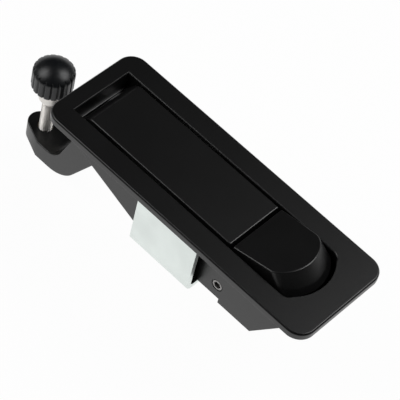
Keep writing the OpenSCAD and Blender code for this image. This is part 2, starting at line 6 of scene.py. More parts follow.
import bmesh
import bpy
import numpy as np
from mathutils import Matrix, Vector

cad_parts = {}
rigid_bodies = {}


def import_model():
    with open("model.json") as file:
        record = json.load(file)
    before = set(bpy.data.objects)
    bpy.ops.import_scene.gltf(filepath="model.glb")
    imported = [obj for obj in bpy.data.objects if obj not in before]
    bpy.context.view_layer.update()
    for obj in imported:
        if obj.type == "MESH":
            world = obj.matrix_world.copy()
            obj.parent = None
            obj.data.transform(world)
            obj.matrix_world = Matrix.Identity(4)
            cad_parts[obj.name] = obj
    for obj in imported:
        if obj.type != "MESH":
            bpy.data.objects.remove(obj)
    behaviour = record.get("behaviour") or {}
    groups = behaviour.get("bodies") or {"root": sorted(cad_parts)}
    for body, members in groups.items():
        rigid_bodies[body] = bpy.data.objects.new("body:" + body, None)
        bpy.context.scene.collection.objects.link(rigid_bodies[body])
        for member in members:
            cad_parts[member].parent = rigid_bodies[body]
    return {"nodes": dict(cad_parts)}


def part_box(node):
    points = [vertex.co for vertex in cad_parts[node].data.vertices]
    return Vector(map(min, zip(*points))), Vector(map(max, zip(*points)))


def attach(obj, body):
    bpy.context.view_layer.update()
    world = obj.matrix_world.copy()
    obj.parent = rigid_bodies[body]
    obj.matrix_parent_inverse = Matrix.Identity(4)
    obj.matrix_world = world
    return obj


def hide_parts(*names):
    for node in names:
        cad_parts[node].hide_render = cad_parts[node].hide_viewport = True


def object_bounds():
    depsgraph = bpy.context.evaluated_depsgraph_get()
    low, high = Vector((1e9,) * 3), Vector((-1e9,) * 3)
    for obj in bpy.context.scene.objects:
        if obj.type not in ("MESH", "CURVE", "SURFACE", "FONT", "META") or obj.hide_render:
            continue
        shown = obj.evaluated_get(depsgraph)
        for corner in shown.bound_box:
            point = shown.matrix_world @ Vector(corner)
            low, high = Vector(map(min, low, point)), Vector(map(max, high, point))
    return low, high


for leftover in list(bpy.data.objects):
    bpy.data.objects.remove(leftover, do_unlink=True)
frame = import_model()
CAD_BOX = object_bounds()

bl_info = {
    "name": "Compression Latch",
    "version": (1, 0, 0),
    "blender": (4, 5, 0),
    "location": "View3D > Sidebar > Latch",
    "description": "Dresses a flush compression latch with its finishes, threads, springs and knob",
    "category": "Object",
}

MM = 0.001

# Boxes of the solids that the new pieces take their places from
KNOB_LOW, KNOB_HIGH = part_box("bumper_knob")
SCREW_LOW, SCREW_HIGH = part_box("adjusting_screw")
CLAMP_LOW, CLAMP_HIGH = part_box("clamp_screw")
PIVOT_LOW, PIVOT_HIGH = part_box("pivot_pin")
TPIN_LOW, TPIN_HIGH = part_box("trigger_pin")

# Distances in metres at which points count as one, and edges as having no length
SAME_PLACE, NO_LENGTH = 1e-6, 1e-7

# Rounding of the solids' edges
SHARP = math.radians(28)  # an edge that bends more than this is rounded
CRISP = math.radians(40)  # an edge that still bends more than this afterwards stays crisp
FLAT = math.radians(0.5)  # faces that bend less than this count as one
SLIVER = 5e-6  # edges this short, in metres, are closed after rounding
ROOM = 2.2  # how many rounds have to fit beside a rounded edge
GOES_ON = 0.75  # a side edge whose direction agrees by this much carries the edge on
EDGE_STEPS, LEDGE_STEPS = 3, 6  # faces across a rounded edge, and across the ledge's round
LEDGE_EDGE = (-62.4 * MM, -4.5 * MM)  # x and z of the spring ledge's front edge
LEDGE_REACH = 0.02 * MM  # how far from that line its corners may lie

# Threads: each row of the form is a share of the pitch and a share of the depth
PITCH = 1.0 * MM
THREAD_FORM = ((0.0, 0.0), (0.12, 0.0), (0.44, 1.0), (0.56, 1.0), (0.88, 0.0))
THREAD_COLUMNS = 48
RUN_OUT = 0.8 * PITCH  # length in which the thread fades out at both ends

# The knob
DOME = 1.32  # radius of the dome against the knob's own radius
BORE_DEPTH = 6 * MM
BORE_LIP = 0.6 * MM  # flat ring around the bore on the underside
FOOT_ROUND = 0.5 * MM  # round at the lower edge of the side
GROOVE_FADE = 0.4 * MM  # how far inside the rim a groove reaches its whole depth
LOBE_COLUMNS = 20

# The adjusting screw
POINT_BEVEL = 0.7 * MM
RING_GROOVE = 0.5 * MM  # depth of the groove for the stop ring
RING_PLAY = 0.05 * MM  # gap on both sides of that ring
COLLAR_NECK, COLLAR_FREE = 0.3 * MM, 0.4 * MM  # bare neck under the collar, and where the thread ends
SEAT_SHARE = 0.86  # radius of the seat in the knob against the collar's
SEAT_STEP = 0.2 * MM  # how far the collar reaches into the knob

# The clamp screw
HEAD_HEIGHT, HEAD_BEVEL, HEAD_BACK_BEVEL = 6 * MM, 0.5 * MM, 0.3 * MM
SOCKET_SHARE = 0.88  # radius of the socket against the thread's
SOCKET_DEPTH, SOCKET_FLARE, SOCKET_BEVEL = 3 * MM, 0.3 * MM, 0.25 * MM
PLAIN_NECK, THREAD_START = 1.5 * MM, 2 * MM  # from the head to the end of the neck and to the thread
TIP_FREE, TIP_HEIGHT, TIP_BEVEL = 0.6 * MM, 0.5 * MM, 0.4 * MM

# The springs: where a coil starts and how far it winds, in degrees, and the wire's middle above the pin
LEVER_START, LEVER_SWEEP, LEVER_COIL_GAP = -90, 1440, 2 * MM
TRIGGER_START, TRIGGER_SWEEP, TRIGGER_COIL_GAP = 0, 1170, 1.2 * MM
COIL_STEPS, LEG_STEPS, WIRE_SIDES = 48, 6, 20

# The stage
MAIN_PLACE, LEFT_PLACE = (0.25, 0.4, 0.62), (-0.48, -0.3, 0.59)
LIGHT_AIM = (0.0, 0.0, -0.01)
LIGHT_SIZE = 0.46
FLOOR_RINGS, FLOOR_COLUMNS = (0.0, 0.5, 1.5, 4.0), 64
PAPER = (0.85, 0.85, 0.85, 1)
SEEN_WHITE = 0.97  # share of plain white that camera and reflections see on the paper
HORIZON = 0.12  # height of the direction at which the sky is dim


def middle(low, high):
    """Centre of a box given by its two corners."""
    return (low + high) / 2


class LatchFinish(bpy.types.PropertyGroup):
    """Colours and surface values of the latch's finishes."""

    coat_colour: bpy.props.FloatVectorProperty(
        name="Coat", description="Colour of the black coating", subtype="COLOR", size=3,
        min=0, max=1, default=(0.0033, 0.0033, 0.0034))
    coat_grain: bpy.props.FloatProperty(
        name="Coat Grain", description="Size of the coating's fine grain", unit="LENGTH", default=0.35 * MM)
    coat_roughness: bpy.props.FloatProperty(
        name="Coat Roughness", description="Roughness of the coating", subtype="FACTOR", default=0.33)
    knob_colour: bpy.props.FloatVectorProperty(
        name="Knob", description="Colour of the knob's plastic", subtype="COLOR", size=3,
        min=0, max=1, default=(0.0036, 0.0043, 0.0052))
    zinc_colour: bpy.props.FloatVectorProperty(
        name="Zinc Plate", description="Colour of the bright zinc plating", subtype="COLOR", size=3,
        min=0, max=1, default=(0.76, 0.81, 0.785))
    steel_colour: bpy.props.FloatVectorProperty(
        name="Steel", description="Colour of the turned steel", subtype="COLOR", size=3,
        min=0, max=1, default=(0.68, 0.66, 0.63))
    spring_colour: bpy.props.FloatVectorProperty(
        name="Spring Wire", description="Colour of the spring wire", subtype="COLOR", size=3,
        min=0, max=1, default=(0.45, 0.44, 0.43))
    brass_colour: bpy.props.FloatVectorProperty(
        name="Brass", description="Colour of inserts and bushes", subtype="COLOR", size=3,
        min=0, max=1, default=(0.72, 0.5, 0.2))


class LatchSizes(bpy.types.PropertyGroup):
    """Sizes of the pieces that are shaped here."""

    knob_lobes: bpy.props.IntProperty(
        name="Knob Lobes", description="Number of lobes around the knob", min=6, max=24, default=18)
    knob_groove: bpy.props.FloatProperty(
        name="Knob Groove", description="Depth of the grooves between lobes", unit="LENGTH",
        default=0.54 * MM)
    knob_groove_width: bpy.props.FloatProperty(
        name="Knob Groove Width", description="Half of a groove's width", unit="LENGTH", default=0.36 * MM)
    knob_shoulder: bpy.props.FloatProperty(
        name="Knob Shoulder", description="Radius between the knob's side and its dome", unit="LENGTH",
        default=1.4 * MM)
    knob_smooth: bpy.props.FloatProperty(
        name="Knob Smooth Top", description="Radius of the dome's part without grooves", unit="LENGTH",
        default=7.7 * MM)
    screw_radius: bpy.props.FloatProperty(
        name="Screw Radius", description="Radius over the thread crests", unit="LENGTH", default=3.0 * MM)
    collar_radius: bpy.props.FloatProperty(
        name="Collar Radius", description="Radius of the screw's collar", unit="LENGTH", default=5.0 * MM)
    collar_height: bpy.props.FloatProperty(
        name="Collar Height", description="Height of the screw's collar", unit="LENGTH", default=8.8 * MM)
    collar_edge: bpy.props.FloatProperty(
        name="Collar Edge", description="Bevel at the collar's lower edge", unit="LENGTH", default=0.6 * MM)
    thread_depth: bpy.props.FloatProperty(
        name="Thread Depth", description="Depth of the screws' threads", unit="LENGTH", default=0.4 * MM)
    coat_edge: bpy.props.FloatProperty(
        name="Coated Edge", description="Roundness of the housing's and the lever's edges", unit="LENGTH",
        default=0.22 * MM)
    ledge_round: bpy.props.FloatProperty(
        name="Ledge Round", description="Radius of the spring ledge's front edge", unit="LENGTH",
        default=0.55 * MM)
    pawl_edge: bpy.props.FloatProperty(
        name="Pawl Edge", description="Roundness of the pawl's edges", unit="LENGTH", default=0.5 * MM)
    cap_edge: bpy.props.FloatProperty(
        name="Trigger Edge", description="Roundness of the trigger's edges", unit="LENGTH",
        default=0.45 * MM)
    sheet_edge: bpy.props.FloatProperty(
        name="Sheet Edge", description="Roundness of the bracket's edges", unit="LENGTH", default=0.25 * MM)
    lever_wire: bpy.props.FloatProperty(
        name="Lever Spring Wire", description="Radius of the lever spring's wire", unit="LENGTH",
        default=0.6 * MM)
    trigger_wire: bpy.props.FloatProperty(
        name="Trigger Spring Wire", description="Radius of the trigger spring's wire", unit="LENGTH",
        default=0.4 * MM)


class LatchStage(bpy.types.PropertyGroup):
    """Camera, floor and lights."""

    camera_place: bpy.props.FloatVectorProperty(
        name="Camera Place", description="Where the camera stands", subtype="TRANSLATION", size=3,
        default=(0.23969, -0.39853, 0.60292))
    camera_turn: bpy.props.FloatVectorProperty(
        name="Camera Turn", description="How the camera is turned", subtype="EULER", size=3,
        default=tuple(math.radians(a) for a in (36.341, -9.4269, 44.0582)))
    camera_lens: bpy.props.FloatProperty(
        name="Lens", description="Focal length of the camera, mm", default=173.11)
    floor_gap: bpy.props.FloatProperty(
        name="Floor Gap", description="Gap between the latch and the floor", unit="LENGTH", default=0.5 * MM)
    main_power: bpy.props.FloatProperty(
        name="Main Light", description="Power of the broad soft light behind the latch, on the right",
        unit="POWER", default=3.6)
    left_power: bpy.props.FloatProperty(
        name="Left Light", description="Power of the broad soft light on the left", unit="POWER",
        default=3.0)
    sky_level: bpy.props.FloatProperty(
        name="Sky", description="Brightness overhead", default=0.025)


def values():
    """The latch's three groups of values: finish, sizes and stage."""
    scene = bpy.context.scene
    return scene.latch_finish, scene.latch_sizes, scene.latch_stage


def grid_object(name, points, sharp=35):
    """A mesh object at the origin from an array of points, rows by columns, joined into quads. Columns close
    on themselves, and equal points, such as a pole's row, become one. Faces look outwards, and they are
    smooth except along edges that bend by more than sharp, in degrees."""
    rows, cols = points.shape[:2]
    r, c = np.meshgrid(np.arange(rows - 1), np.arange(cols), indexing="ij")
    after = (c + 1) % cols
    quads = np.stack([r * cols + c, r * cols + after, (r + 1) * cols + after, (r + 1) * cols + c], axis=-1)
    mesh = bpy.data.meshes.new(name)
    mesh.from_pydata(points.reshape(-1, 3).tolist(), [], quads.reshape(-1, 4).tolist())
    work = bmesh.new()
    work.from_mesh(mesh)
    bmesh.ops.remove_doubles(work, verts=work.verts, dist=SAME_PLACE)
    bmesh.ops.dissolve_degenerate(work, edges=work.edges, dist=NO_LENGTH)
    bmesh.ops.recalc_face_normals(work, faces=work.faces)
    work.to_mesh(mesh)
    work.free()
    mesh.polygons.foreach_set("use_smooth", np.ones(len(mesh.polygons), bool))
    mesh.set_sharp_from_angle(angle=math.radians(sharp))
    piece = bpy.data.objects.new(name, mesh)
    bpy.context.scene.collection.objects.link(piece)
    return piece


def turned_rows(profile, columns):
    """A turned surface as radius, height and angle: each row of the profile gives a radius and a height,
    which is carried round the upright axis in even steps."""
    turn = np.linspace(0, 2 * math.pi, columns, endpoint=False)
    profile = np.asarray(profile, float)
    radius = np.repeat(profile[:, :1], columns, axis=1)
    height = np.repeat(profile[:, 1:2], columns, axis=1)
    return radius, height, np.repeat(turn[None], len(profile), axis=0)


def thread_rows(low, high, crest, root):
    """A screw thread as radius, height and angle: rows follow the helix, five to a turn, along the root,
    up a flank, along the crest and down the other flank. Height grows by one pitch for each turn and is
    held between the ends, where the thread fades out, so both ends close as rings."""
    turn = np.linspace(0, 2 * math.pi, THREAD_COLUMNS, endpoint=False)
    form = np.array(THREAD_FORM)
    count = int(math.ceil((high - low) / PITCH)) + 2
    step = (np.arange(-1, count)[:, None] + form[None, :, 0]).ravel()
    relief = np.tile(form[:, 1], count + 1)[:, None]
    height = low + PITCH * (step[:, None] + turn[None] / (2 * math.pi))
    fade = np.clip((high - height) / RUN_OUT, 0, 1) * np.clip((height - low) / RUN_OUT, 0, 1)
    radius = root + (crest - root) * relief * fade
    return radius, np.clip(height, low, high), np.repeat(turn[None], len(step), axis=0)


def round_object(name, centre, radius, height, angle, sharp):
    """A piece about an upright axis through the centre, from the radius, height and angle of each point."""
    x = centre[0] + radius * np.cos(angle)
    y = centre[1] + radius * np.sin(angle)
    return grid_object(name, np.stack([x, y, height], axis=-1), sharp)


def tube(name, path, side, wire):
    """A round wire carried along a path: a circle of the wire's radius, spanned by the side direction at
    each point of the path and by the direction square to it, closed by a point at both ends."""
    turn = np.linspace(0, 2 * math.pi, WIRE_SIDES, endpoint=False)[None, :, None]
    along = np.gradient(path, axis=0)
    along /= np.linalg.norm(along, axis=1, keepdims=True)
    across = np.cross(along, side)
    across /= np.linalg.norm(across, axis=1, keepdims=True)
    square = np.cross(across, along)
    body = path[:, None] + wire * (np.cos(turn) * square[:, None] + np.sin(turn) * across[:, None])
    first = np.repeat(path[:1, None], WIRE_SIDES, axis=1)
    last = np.repeat(path[-1:, None], WIRE_SIDES, axis=1)
    return grid_object(name, np.concatenate([first, body, last]), sharp=50)


def coil_path(centre, radius, half, start, sweep, leg_a, leg_b):
    """Centre line of a torsion spring across the latch: a helix about y, with a straight leg along the
    tangent at both ends. Also the outward direction at each point."""
    count = int(COIL_STEPS * sweep / 360)
    share = np.concatenate([np.zeros(LEG_STEPS), np.linspace(0, 1, count), np.ones(LEG_STEPS)])
    shift = np.concatenate([
        np.linspace(leg_a, leg_a / LEG_STEPS, LEG_STEPS), np.zeros(count),
        np.linspace(-leg_b / LEG_STEPS, -leg_b, LEG_STEPS)])
    angle = np.radians(start - sweep * share)
    out = np.stack([np.cos(angle), np.zeros_like(angle), np.sin(angle)], axis=-1)
    ahead = np.stack([-np.sin(angle), np.zeros_like(angle), np.cos(angle)], axis=-1)
    path = np.asarray(centre)[None] + radius * out + shift[:, None] * ahead
    path[:, 1] += half - 2 * half * share
    return path, out


def has_room(edge, width):
    """True for a sharp outer edge with room for a round of the width: where a side edge leads away from its
    ends, in either face, it reaches out for more than two such rounds."""
    if len(edge.link_faces) != 2 or not edge.is_convex or edge.calc_face_angle() < SHARP:
        return False
    for loop in edge.link_loops:
        after = loop.link_loop_next
        along = (after.vert.co - loop.vert.co).normalized()
        behind = loop.link_loop_prev.vert.co - loop.vert.co
        ahead = after.link_loop_next.vert.co - after.vert.co
        for side, onward in ((behind, -along), (ahead, along)):
            goes_on = side.normalized().dot(onward) > GOES_ON
            if not goes_on and side.cross(along).length < ROOM * width:
                return False
    return True


def whole_faces(name, node, width):
    """A copy of a solid's mesh with doubled corners joined and flat triangles made whole faces, and for each
    of its edges whether it has room for a round of the width."""
    mesh = frame["nodes"][node].data.copy()
    mesh.name = name
    mesh.materials.clear()
    if "custom_normal" in mesh.attributes:
        mesh.attributes.remove(mesh.attributes["custom_normal"])
    work = bmesh.new()
    work.from_mesh(mesh)
    bmesh.ops.remove_doubles(work, verts=work.verts, dist=SAME_PLACE)
    bmesh.ops.dissolve_limit(work, angle_limit=FLAT, verts=work.verts, edges=work.edges)
    work.normal_update()
    soft = np.array([has_room(edge, width) for edge in work.edges])
    work.to_mesh(mesh)
    work.free()
    mesh.polygons.foreach_set("use_smooth", np.ones(len(mesh.polygons), bool))
    return mesh, soft


def edges_on_line(mesh, line):
    """For each edge of a mesh, whether both its ends lie on a line across the latch, given as x and z."""
    points = np.empty(3 * len(mesh.vertices))
    mesh.vertices.foreach_get("co", points)
    ends = np.empty(2 * len(mesh.edges), int)
    mesh.edges.foreach_get("vertices", ends)
    near = np.abs(points.reshape(-1, 3)[:, [0, 2]] - line).max(axis=1) < LEDGE_REACH
    chosen = near[ends.reshape(-1, 2)].all(axis=1)
    if not chosen.any():
        raise RuntimeError(f"{mesh.name} has no edge along {line}")
    return chosen


def round_edges(piece, label, chosen, width, steps):
    """Rounds the chosen edges of a piece by a bevel that reads a weight of 1 or 0 from each edge."""
    weight = piece.data.attributes.new(label, "FLOAT", "EDGE")
    weight.data.foreach_set("value", chosen.astype(np.float32))
    bevel = piece.modifiers.new(label, "BEVEL")
    bevel.width = width
    bevel.segments = steps
    bevel.limit_method = "WEIGHT"
    bevel.edge_weight = label
    bevel.use_clamp_overlap = False
    bevel.loop_slide = False


def softened(name, node, width, round_line=None, round_width=0.0):
    """A copy of a solid with rounded edges: outer edges with room for it are bevelled by the width, and
    normals weighted by area leave the flat faces flat. Edges across the latch along round_line, given as x
    and z, get the wider round."""
    mesh, soft = whole_faces(name, node, width)
    piece = bpy.data.objects.new(name, mesh)
    bpy.context.scene.collection.objects.link(piece)
    if round_line:
        wide = edges_on_line(mesh, round_line)
        round_edges(piece, "round_edge", wide, round_width, LEDGE_STEPS)
        soft = soft & ~wide
    round_edges(piece, "soft_edges", soft, width, EDGE_STEPS)
    rounded = bpy.data.meshes.new_from_object(piece.evaluated_get(bpy.context.evaluated_depsgraph_get()))
    piece.modifiers.clear()
    piece.data = rounded
    bpy.data.meshes.remove(mesh)
    rounded.name = name
    work = bmesh.new()
    work.from_mesh(rounded)
    bmesh.ops.remove_doubles(work, verts=work.verts, dist=SLIVER)
    bmesh.ops.dissolve_degenerate(work, edges=work.edges, dist=SLIVER)
    work.to_mesh(rounded)
    work.free()
    rounded.set_sharp_from_angle(angle=CRISP)
    normals = piece.modifiers.new("even_normals", "WEIGHTED_NORMAL")
    normals.mode = "FACE_AREA"
    normals.keep_sharp = True
    return piece


def set_values(shader, **wanted):
    """Plain numbers and colours set on a shader's own sockets, by socket name with spaces as underscores."""
    for name, value in wanted.items():
        shader.inputs[name.replace("_", " ")].default_value = value


def new_material(name):
    """A node material; returns the material, its nodes, its links and its Principled shader."""
    material = bpy.data.materials.new(name)
    material.use_nodes = True
    tree = material.node_tree
    return material, tree.nodes, tree.links, tree.nodes["Principled BSDF"]


def surface_group(name, build):
    """A shader node group with the inputs Grain Scale and Patch Scale and the outputs Colour Mask, Rough
    Mask and Height, filled in by the build function."""
    group = bpy.data.node_groups.new(name, "ShaderNodeTree")
    for label, default in (("Grain Scale", 2000.0), ("Patch Scale", 40.0)):
        socket = group.interface.new_socket(name=label, in_out="INPUT", socket_type="NodeSocketFloat")
        socket.default_value = default
    for label in ("Colour Mask", "Rough Mask", "Height"):
        group.interface.new_socket(name=label, in_out="OUTPUT", socket_type="NodeSocketFloat")
    start = group.nodes.new("NodeGroupInput")
    end = group.nodes.new("NodeGroupOutput")
    build(group, start, end)
    return group


def noise(group, scale, detail, distort=0.0):
    """A noise texture on Object coordinates, with its scale from a socket."""
    place = group.nodes.new("ShaderNodeTexCoord")
    texture = group.nodes.new("ShaderNodeTexNoise")
    group.links.new(place.outputs["Object"], texture.inputs["Vector"])
    texture.inputs["Detail"].default_value = detail
    texture.inputs["Distortion"].default_value = distort
    group.links.new(scale, texture.inputs["Scale"])
    return texture.outputs["Fac"]


def ramp(group, value, low, high):
    """The value spread from low..high to 0..1, held at both ends."""
    node = group.nodes.new("ShaderNodeMapRange")
    node.inputs["From Min"].default_value = low
    node.inputs["From Max"].default_value = high
    group.links.new(value, node.inputs["Value"])
    return node.outputs["Result"]


def grain_build(group, start, end):
    """Fine even grain for the height and the roughness, with broad cloudy patches for the colour."""
    fine = noise(group, start.outputs["Grain Scale"], detail=2.0)
    cloud = noise(group, start.outputs["Patch Scale"], detail=4.0, distort=0.3)
    group.links.new(fine, end.inputs["Height"])
    group.links.new(ramp(group, cloud, 0.3, 0.7), end.inputs["Colour Mask"])
    group.links.new(ramp(group, fine, 0.25, 0.75), end.inputs["Rough Mask"])


def brushed_build(group, start, end):
    """Long thin streaks along one axis, from noise stretched by a Mapping node, over cloudy patches."""
    place = group.nodes.new("ShaderNodeTexCoord")
    stretch = group.nodes.new("ShaderNodeMapping")
    stretch.inputs["Scale"].default_value = (1.0, 14.0, 14.0)
    texture = group.nodes.new("ShaderNodeTexNoise")
    texture.inputs["Detail"].default_value = 3.0
    group.links.new(place.outputs["Object"], stretch.inputs["Vector"])
    group.links.new(stretch.outputs["Vector"], texture.inputs["Vector"])
    group.links.new(start.outputs["Grain Scale"], texture.inputs["Scale"])
    streaks = texture.outputs["Fac"]
    cloud = noise(group, start.outputs["Patch Scale"], detail=3.0, distort=0.4)
    group.links.new(streaks, end.inputs["Height"])
    group.links.new(ramp(group, cloud, 0.3, 0.7), end.inputs["Colour Mask"])
    group.links.new(ramp(group, streaks, 0.3, 0.7), end.inputs["Rough Mask"])


def shade(colour, share):
    """A colour made lighter or darker by a share."""
    return tuple(min(1.0, c * share) for c in colour)


def finish_material(name, group, colour, scales, shares, rough, bump, **plain):
    """A finish: colour between a darker and a lighter share of it and roughness between its two values, both
    by the group's masks, and a bump of some strength and distance from the group's height. The scales are
    those of grain and patches. Plain values go straight on the shader."""
    material, nodes, links, shader = new_material(name)
    surface = nodes.new("ShaderNodeGroup")
    surface.node_tree = group
    surface.inputs["Grain Scale"].default_value, surface.inputs["Patch Scale"].default_value = scales
    mix = nodes.new("ShaderNodeMix")
    mix.data_type = "RGBA"
    for end, share in zip(("A", "B"), shares):
        mix.inputs[end].default_value = (*shade(colour, share), 1)
    links.new(surface.outputs["Colour Mask"], mix.inputs["Factor"])
    links.new(mix.outputs["Result"], shader.inputs["Base Color"])
    spread = nodes.new("ShaderNodeMapRange")
    spread.inputs["To Min"].default_value, spread.inputs["To Max"].default_value = rough
    links.new(surface.outputs["Rough Mask"], spread.inputs["Value"])
    links.new(spread.outputs["Result"], shader.inputs["Roughness"])
    relief = nodes.new("ShaderNodeBump")
    relief.inputs["Strength"].default_value, relief.inputs["Distance"].default_value = bump
    links.new(surface.outputs["Height"], relief.inputs["Height"])
    links.new(relief.outputs["Normal"], shader.inputs["Normal"])
    set_values(shader, **plain)
    return material


def make_finishes():
    """All finishes by name; built once and shared by the pieces."""
    if bpy.data.materials.get("black_powder_coat"):
        return {m.name: m for m in bpy.data.materials}
    look = values()[0]
    grain = surface_group("fine_grain", grain_build)
    brushed = surface_group("brushed_streaks", brushed_build)
    finish_material(
        "black_powder_coat", grain, look.coat_colour, scales=(1 / look.coat_grain, 45), shares=(0.8, 1.25),
        rough=(look.coat_roughness - 0.04, look.coat_roughness + 0.05), bump=(0.12, 0.02 * MM), IOR=1.5)
    finish_material(
        "moulded_knob_black", grain, look.knob_colour, scales=(900, 90), shares=(0.8, 1.2),
        rough=(0.3, 0.38), bump=(0.12, 0.02 * MM), IOR=1.42)
    finish_material(
        "bright_zinc_plate", brushed, look.zinc_colour, scales=(220, 60), shares=(0.94, 1.05),
        rough=(0.3, 0.42), bump=(0.1, 0.02 * MM), Metallic=1.0)
    finish_material(
        "turned_steel", brushed, look.steel_colour, scales=(300, 120), shares=(0.9, 1.06),
        rough=(0.2, 0.32), bump=(0.08, 0.02 * MM), Metallic=1.0)
    finish_material(
        "plated_screw", grain, look.steel_colour, scales=(1500, 200), shares=(1.06, 1.18),
        rough=(0.46, 0.58), bump=(0.1, 0.02 * MM), Metallic=1.0)
    finish_material(
        "dull_pin_steel", grain, look.spring_colour, scales=(1200, 300), shares=(0.6, 0.75),
        rough=(0.42, 0.55), bump=(0.1, 0.02 * MM), Metallic=1.0)
    # Steel darkened almost to black for the lever's catch and its rivets: painted shade, so the narrow gap
    # between the lever and the trigger, where the catch shows, stays dark.
    finish_material(
        "blackened_steel", grain, look.steel_colour, scales=(1200, 200), shares=(0.02, 0.03),
        rough=(0.42, 0.52), bump=(0.08, 0.02 * MM), Metallic=1.0)
    finish_material(
        "spring_wire", brushed, look.spring_colour, scales=(500, 200), shares=(0.85, 1.1),
        rough=(0.25, 0.4), bump=(0.08, 0.01 * MM), Metallic=1.0)
    finish_material(
        "turned_brass", brushed, look.brass_colour, scales=(400, 150), shares=(0.88, 1.08),
        rough=(0.22, 0.36), bump=(0.08, 0.02 * MM), Metallic=1.0)
    return {m.name: m for m in bpy.data.materials}


def dress(names, finish):
    """Gives the named solids a finish in place of their plain one."""
    material = make_finishes()[finish]
    for name in names:
        mesh = frame["nodes"][name].data
        mesh.materials.clear()
        mesh.materials.append(material)


def settle(piece, finish, body, node):
    """Gives a new piece its finish and its body, and hides the solid it stands for."""
    piece.data.materials.append(make_finishes()[finish])
    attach(piece, body)
    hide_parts(node)


class LATCH_OT_stage(bpy.types.Operator):
    """Sets up the camera, the pale floor, the backdrop and the soft lights"""

    bl_idname = "latch.stage"
    bl_label = "Stage"

    def execute(self, context):
        stage = values()[2]
        context.scene.view_settings.view_transform = "Standard"
        self.camera(context, stage)
        self.floor(stage)
        self.sky(context, stage)
        self.light("main_soft_light", MAIN_PLACE, stage.main_power)
        self.light("left_soft_light", LEFT_PLACE, stage.left_power)
        return {"FINISHED"}

    def camera(self, context, stage):
        """The camera at the photograph's place and angle."""
        data = bpy.data.cameras.new("camera")
        data.lens = stage.camera_lens
        data.sensor_width = 36
        data.clip_start, data.clip_end = 0.01, 50
        camera = bpy.data.objects.new("camera", data)
        camera.location = stage.camera_place
        camera.rotation_euler = stage.camera_turn
        context.scene.collection.objects.link(camera)
        context.scene.camera = camera

    def floor(self, stage):
        """A wide pale disc under the latch: height is level, radius grows along the rows."""
        turn = np.linspace(0, 2 * math.pi, FLOOR_COLUMNS, endpoint=False)
        radius = np.array(FLOOR_RINGS)[:, None]
        x, y = radius * np.cos(turn), radius * np.sin(turn)
        level = np.full_like(x, CAD_BOX[0].z - stage.floor_gap)
        floor = grid_object("floor", np.stack([x, y, level], axis=-1))
        floor.data.materials.append(self.floor_paper())

    def floor_paper(self):
        """White paper: lit and shadowed by the lamps, and seen as white by camera and reflections."""
        material, nodes, links, shader = new_material("floor_paper")
        set_values(shader, Base_Color=PAPER, Roughness=0.9, Specular_IOR_Level=0.0)
        path = nodes.new("ShaderNodeLightPath")
        either = nodes.new("ShaderNodeMath")
        either.operation = "MAXIMUM"
        links.new(path.outputs["Is Camera Ray"], either.inputs[0])
        links.new(path.outputs["Is Glossy Ray"], either.inputs[1])
        seen = nodes.new("ShaderNodeMath")
        seen.operation = "MAXIMUM"
        links.new(either.outputs["Value"], seen.inputs[0])
        links.new(path.outputs["Is Transmission Ray"], seen.inputs[1])
        white = nodes.new("ShaderNodeEmission")
        white.inputs["Color"].default_value = (1, 1, 1, 1)
        white.inputs["Strength"].default_value = 1.0
        share = nodes.new("ShaderNodeMath")
        share.operation = "MULTIPLY"
        share.inputs[1].default_value = SEEN_WHITE
        links.new(seen.outputs["Value"], share.inputs[0])
        mix = nodes.new("ShaderNodeMixShader")
        links.new(share.outputs["Value"], mix.inputs["Fac"])
        links.new(shader.outputs["BSDF"], mix.inputs[1])
        links.new(white.outputs["Emission"], mix.inputs[2])
        links.new(mix.outputs["Shader"], nodes["Material Output"].inputs["Surface"])
        return material

    def sky(self, context, stage):
        """A backdrop that is white at the horizon and dim overhead, by the height of the direction."""
        world = bpy.data.worlds.new("studio")
        world.use_nodes = True
        context.scene.world = world
        nodes, links = world.node_tree.nodes, world.node_tree.links
        place = nodes.new("ShaderNodeTexCoord")
        split = nodes.new("ShaderNodeSeparateXYZ")
        links.new(place.outputs["Generated"], split.inputs["Vector"])
        spread = nodes.new("ShaderNodeMapRange")
        spread.interpolation_type = "SMOOTHSTEP"
        spread.inputs["From Min"].default_value = 0.0
        spread.inputs["From Max"].default_value = HORIZON
        spread.inputs["To Min"].default_value = 1.0
        spread.inputs["To Max"].default_value = stage.sky_level
        links.new(split.outputs["Z"], spread.inputs["Value"])
        links.new(spread.outputs["Result"], nodes["Background"].inputs["Color"])

    def light(self, name, place, power):
        """A broad soft light at a place, turned to face the latch."""
        data = bpy.data.lights.new(name, "AREA")
        data.shape = "RECTANGLE"
        data.size = data.size_y = LIGHT_SIZE
        data.energy = power
        lamp = bpy.data.objects.new(name, data)
        lamp.location = place
        lamp.rotation_euler = (Vector(LIGHT_AIM) - lamp.location).to_track_quat("-Z", "Y").to_euler()
        bpy.context.scene.collection.objects.link(lamp)


class LATCH_OT_castings(bpy.types.Operator):
    """Coats the housing, the lever, the pawl and the trigger in black"""

    bl_idname = "latch.castings"
    bl_label = "Coated Castings"

    def execute(self, context):
        sizes = values()[1]
        housing = softened("coated_housing", "housing", sizes.coat_edge, LEDGE_EDGE, sizes.ledge_round)
        settle(housing, "black_powder_coat", "housing", "housing")
        for name, node, body, edge in (
                ("coated_lever", "lever", "lever", sizes.coat_edge),
                ("coated_pawl", "pawl", "lever", sizes.pawl_edge),
                ("trigger_cap", "trigger", "trigger", sizes.cap_edge)):
            settle(softened(name, node, edge), "black_powder_coat", body, node)
        return {"FINISHED"}


class LATCH_OT_bracket(bpy.types.Operator):
    """Plates the mounting bracket and its washers"""

    bl_idname = "latch.bracket"
    bl_label = "Plated Bracket"

    def execute(self, context):
        dress(("clamp_washer", "clamp_spring_washer"), "bright_zinc_plate")
        bracket = softened("plated_bracket", "mounting_bracket", values()[1].sheet_edge)
        settle(bracket, "bright_zinc_plate", "bracket", "mounting_bracket")
        return {"FINISHED"}


